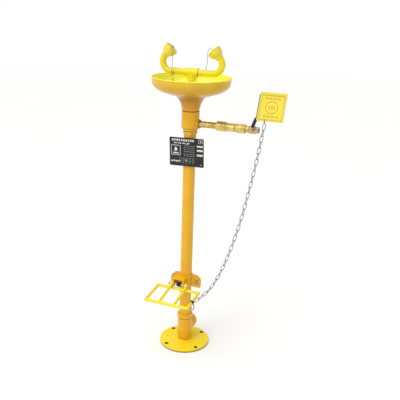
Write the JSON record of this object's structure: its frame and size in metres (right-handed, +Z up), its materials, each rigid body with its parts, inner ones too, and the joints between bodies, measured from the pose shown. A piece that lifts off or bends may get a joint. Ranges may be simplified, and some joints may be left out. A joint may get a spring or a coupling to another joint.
{
  "type": "pedestal eyewash station",
  "caption": "Pedestal emergency eyewash: bowl and twin spray heads on a pipe column, with a hand push plate and a foot treadle that open the water valve by a chain.",
  "frame": {"origin": "centre of the base flange's underside, on the column's axis", "axes": "+Z up the column, -Y towards the user and the treadle, +X along the valve arm to the water inlet"},
  "size_m": [0.4546, 0.2889, 1.0916],
  "materials": {
    "yellow_enamel": "gloss",
    "lemon_enamel": "gloss",
    "yellow_plastic": "gloss",
    "pale_plastic": "satin",
    "bare_brass": "satin",
    "chrome_ball": "polished",
    "dark_steel": "satin",
    "black_rubber": "matte",
    "black_sign": "satin",
    "chain_fill": "satin",
    "tether_line": "satin",
    "bright_steel": "brushed",
    "zinc_steel": "zinc plated"
  },
  "bodies": {
    "pedestal": {"arm_coupling": "bare_brass", "arm_nipple": "bare_brass", "base_flange": "yellow_enamel", "bowl": "lemon_enamel", "bowl_strainer": "bright_steel", "bowl_tailpiece": "yellow_enamel", "clamp_bolt_left": "zinc_steel", "clamp_bolt_right": "zinc_steel", "clamp_front": "yellow_enamel", "clamp_nut_left": "zinc_steel", "clamp_nut_right": "zinc_steel", "clamp_rear": "yellow_enamel", "column_pipe": "yellow_enamel", "column_reducer": "yellow_enamel", "head_body_left": "yellow_plastic", "head_body_right": "yellow_plastic", "head_face_left": "pale_plastic", "head_face_right": "pale_plastic", "hinge_pin": "zinc_steel", "inlet_spigot": "bare_brass", "lower_tee": "yellow_enamel", "manifold_pipe_left": "yellow_enamel", "manifold_pipe_right": "yellow_enamel", "manifold_tee": "yellow_enamel", "return_spring": "zinc_steel", "riser_pipe": "yellow_enamel", "sign_plate": "black_sign", "sign_screw_high": "zinc_steel", "sign_screw_low": "zinc_steel", "sign_strap_high": "yellow_enamel", "sign_strap_low": "yellow_enamel", "stem_gland": "bare_brass", "tee_gasket": "black_rubber", "tether_eye_left": "zinc_steel", "tether_eye_right": "zinc_steel", "union_nut": "bare_brass", "union_tail": "bare_brass", "upper_tee": "yellow_enamel", "valve_body": "bare_brass"},
    "treadle": {"treadle_arm_left": "yellow_enamel", "treadle_arm_right": "yellow_enamel", "treadle_side_left": "yellow_enamel", "treadle_side_right": "yellow_enamel", "treadle_back_bar": "yellow_enamel", "treadle_front_bar": "yellow_enamel", "chain_shackle": "zinc_steel"},
    "valve_lever": {"valve_ball": "chrome_ball", "valve_stem": "bare_brass", "lever_bar": "dark_steel", "lever_nut": "bare_brass", "push_plate": "lemon_enamel", "plate_rivet_high": "zinc_steel", "plate_rivet_low": "zinc_steel", "plate_ring": "zinc_steel"},
    "pull_chain": {"pull_chain": "chain_fill"},
    "dust_cap_left": {"dust_cap_left": "yellow_plastic", "tether_left": "tether_line"},
    "dust_cap_right": {"dust_cap_right": "yellow_plastic", "tether_right": "tether_line"}
  },
  "joints": [
    {"name": "treadle_hinge", "type": "hinge", "parent": "pedestal", "child": "treadle", "pos_m": [0, -0.04, 0.247], "axis": [1, 0, 0], "range_deg": [0, 40], "stiffness_Nm_per_rad": 1.2, "springref_deg": -57.3},
    {"name": "valve_turn", "type": "hinge", "parent": "pedestal", "child": "valve_lever", "pos_m": [0.218, 0, 0.832], "axis": [0, 1, 0], "range_deg": [0, 90]},
    {"name": "chain_swing", "type": "hinge", "parent": "treadle", "child": "pull_chain", "pos_m": [0.0685, -0.11, 0.2254], "axis": [0.995, -0.0738, -0.0675], "range_deg": [-38, 0]},
    {"name": "cap_lift_left", "type": "slide", "parent": "pedestal", "child": "dust_cap_left", "axis": [0.7071, 0, 0.7071], "range_m": [0, 0.04]},
    {"name": "cap_lift_right", "type": "slide", "parent": "pedestal", "child": "dust_cap_right", "axis": [-0.7071, 0, 0.7071], "range_m": [0, 0.04]}
  ],
  "couplings": [
    {"joint": "valve_turn", "follows": "treadle_hinge", "ratio": 1.205},
    {"joint": "chain_swing", "follows": "treadle_hinge", "ratio": -0.9176}
  ]
}
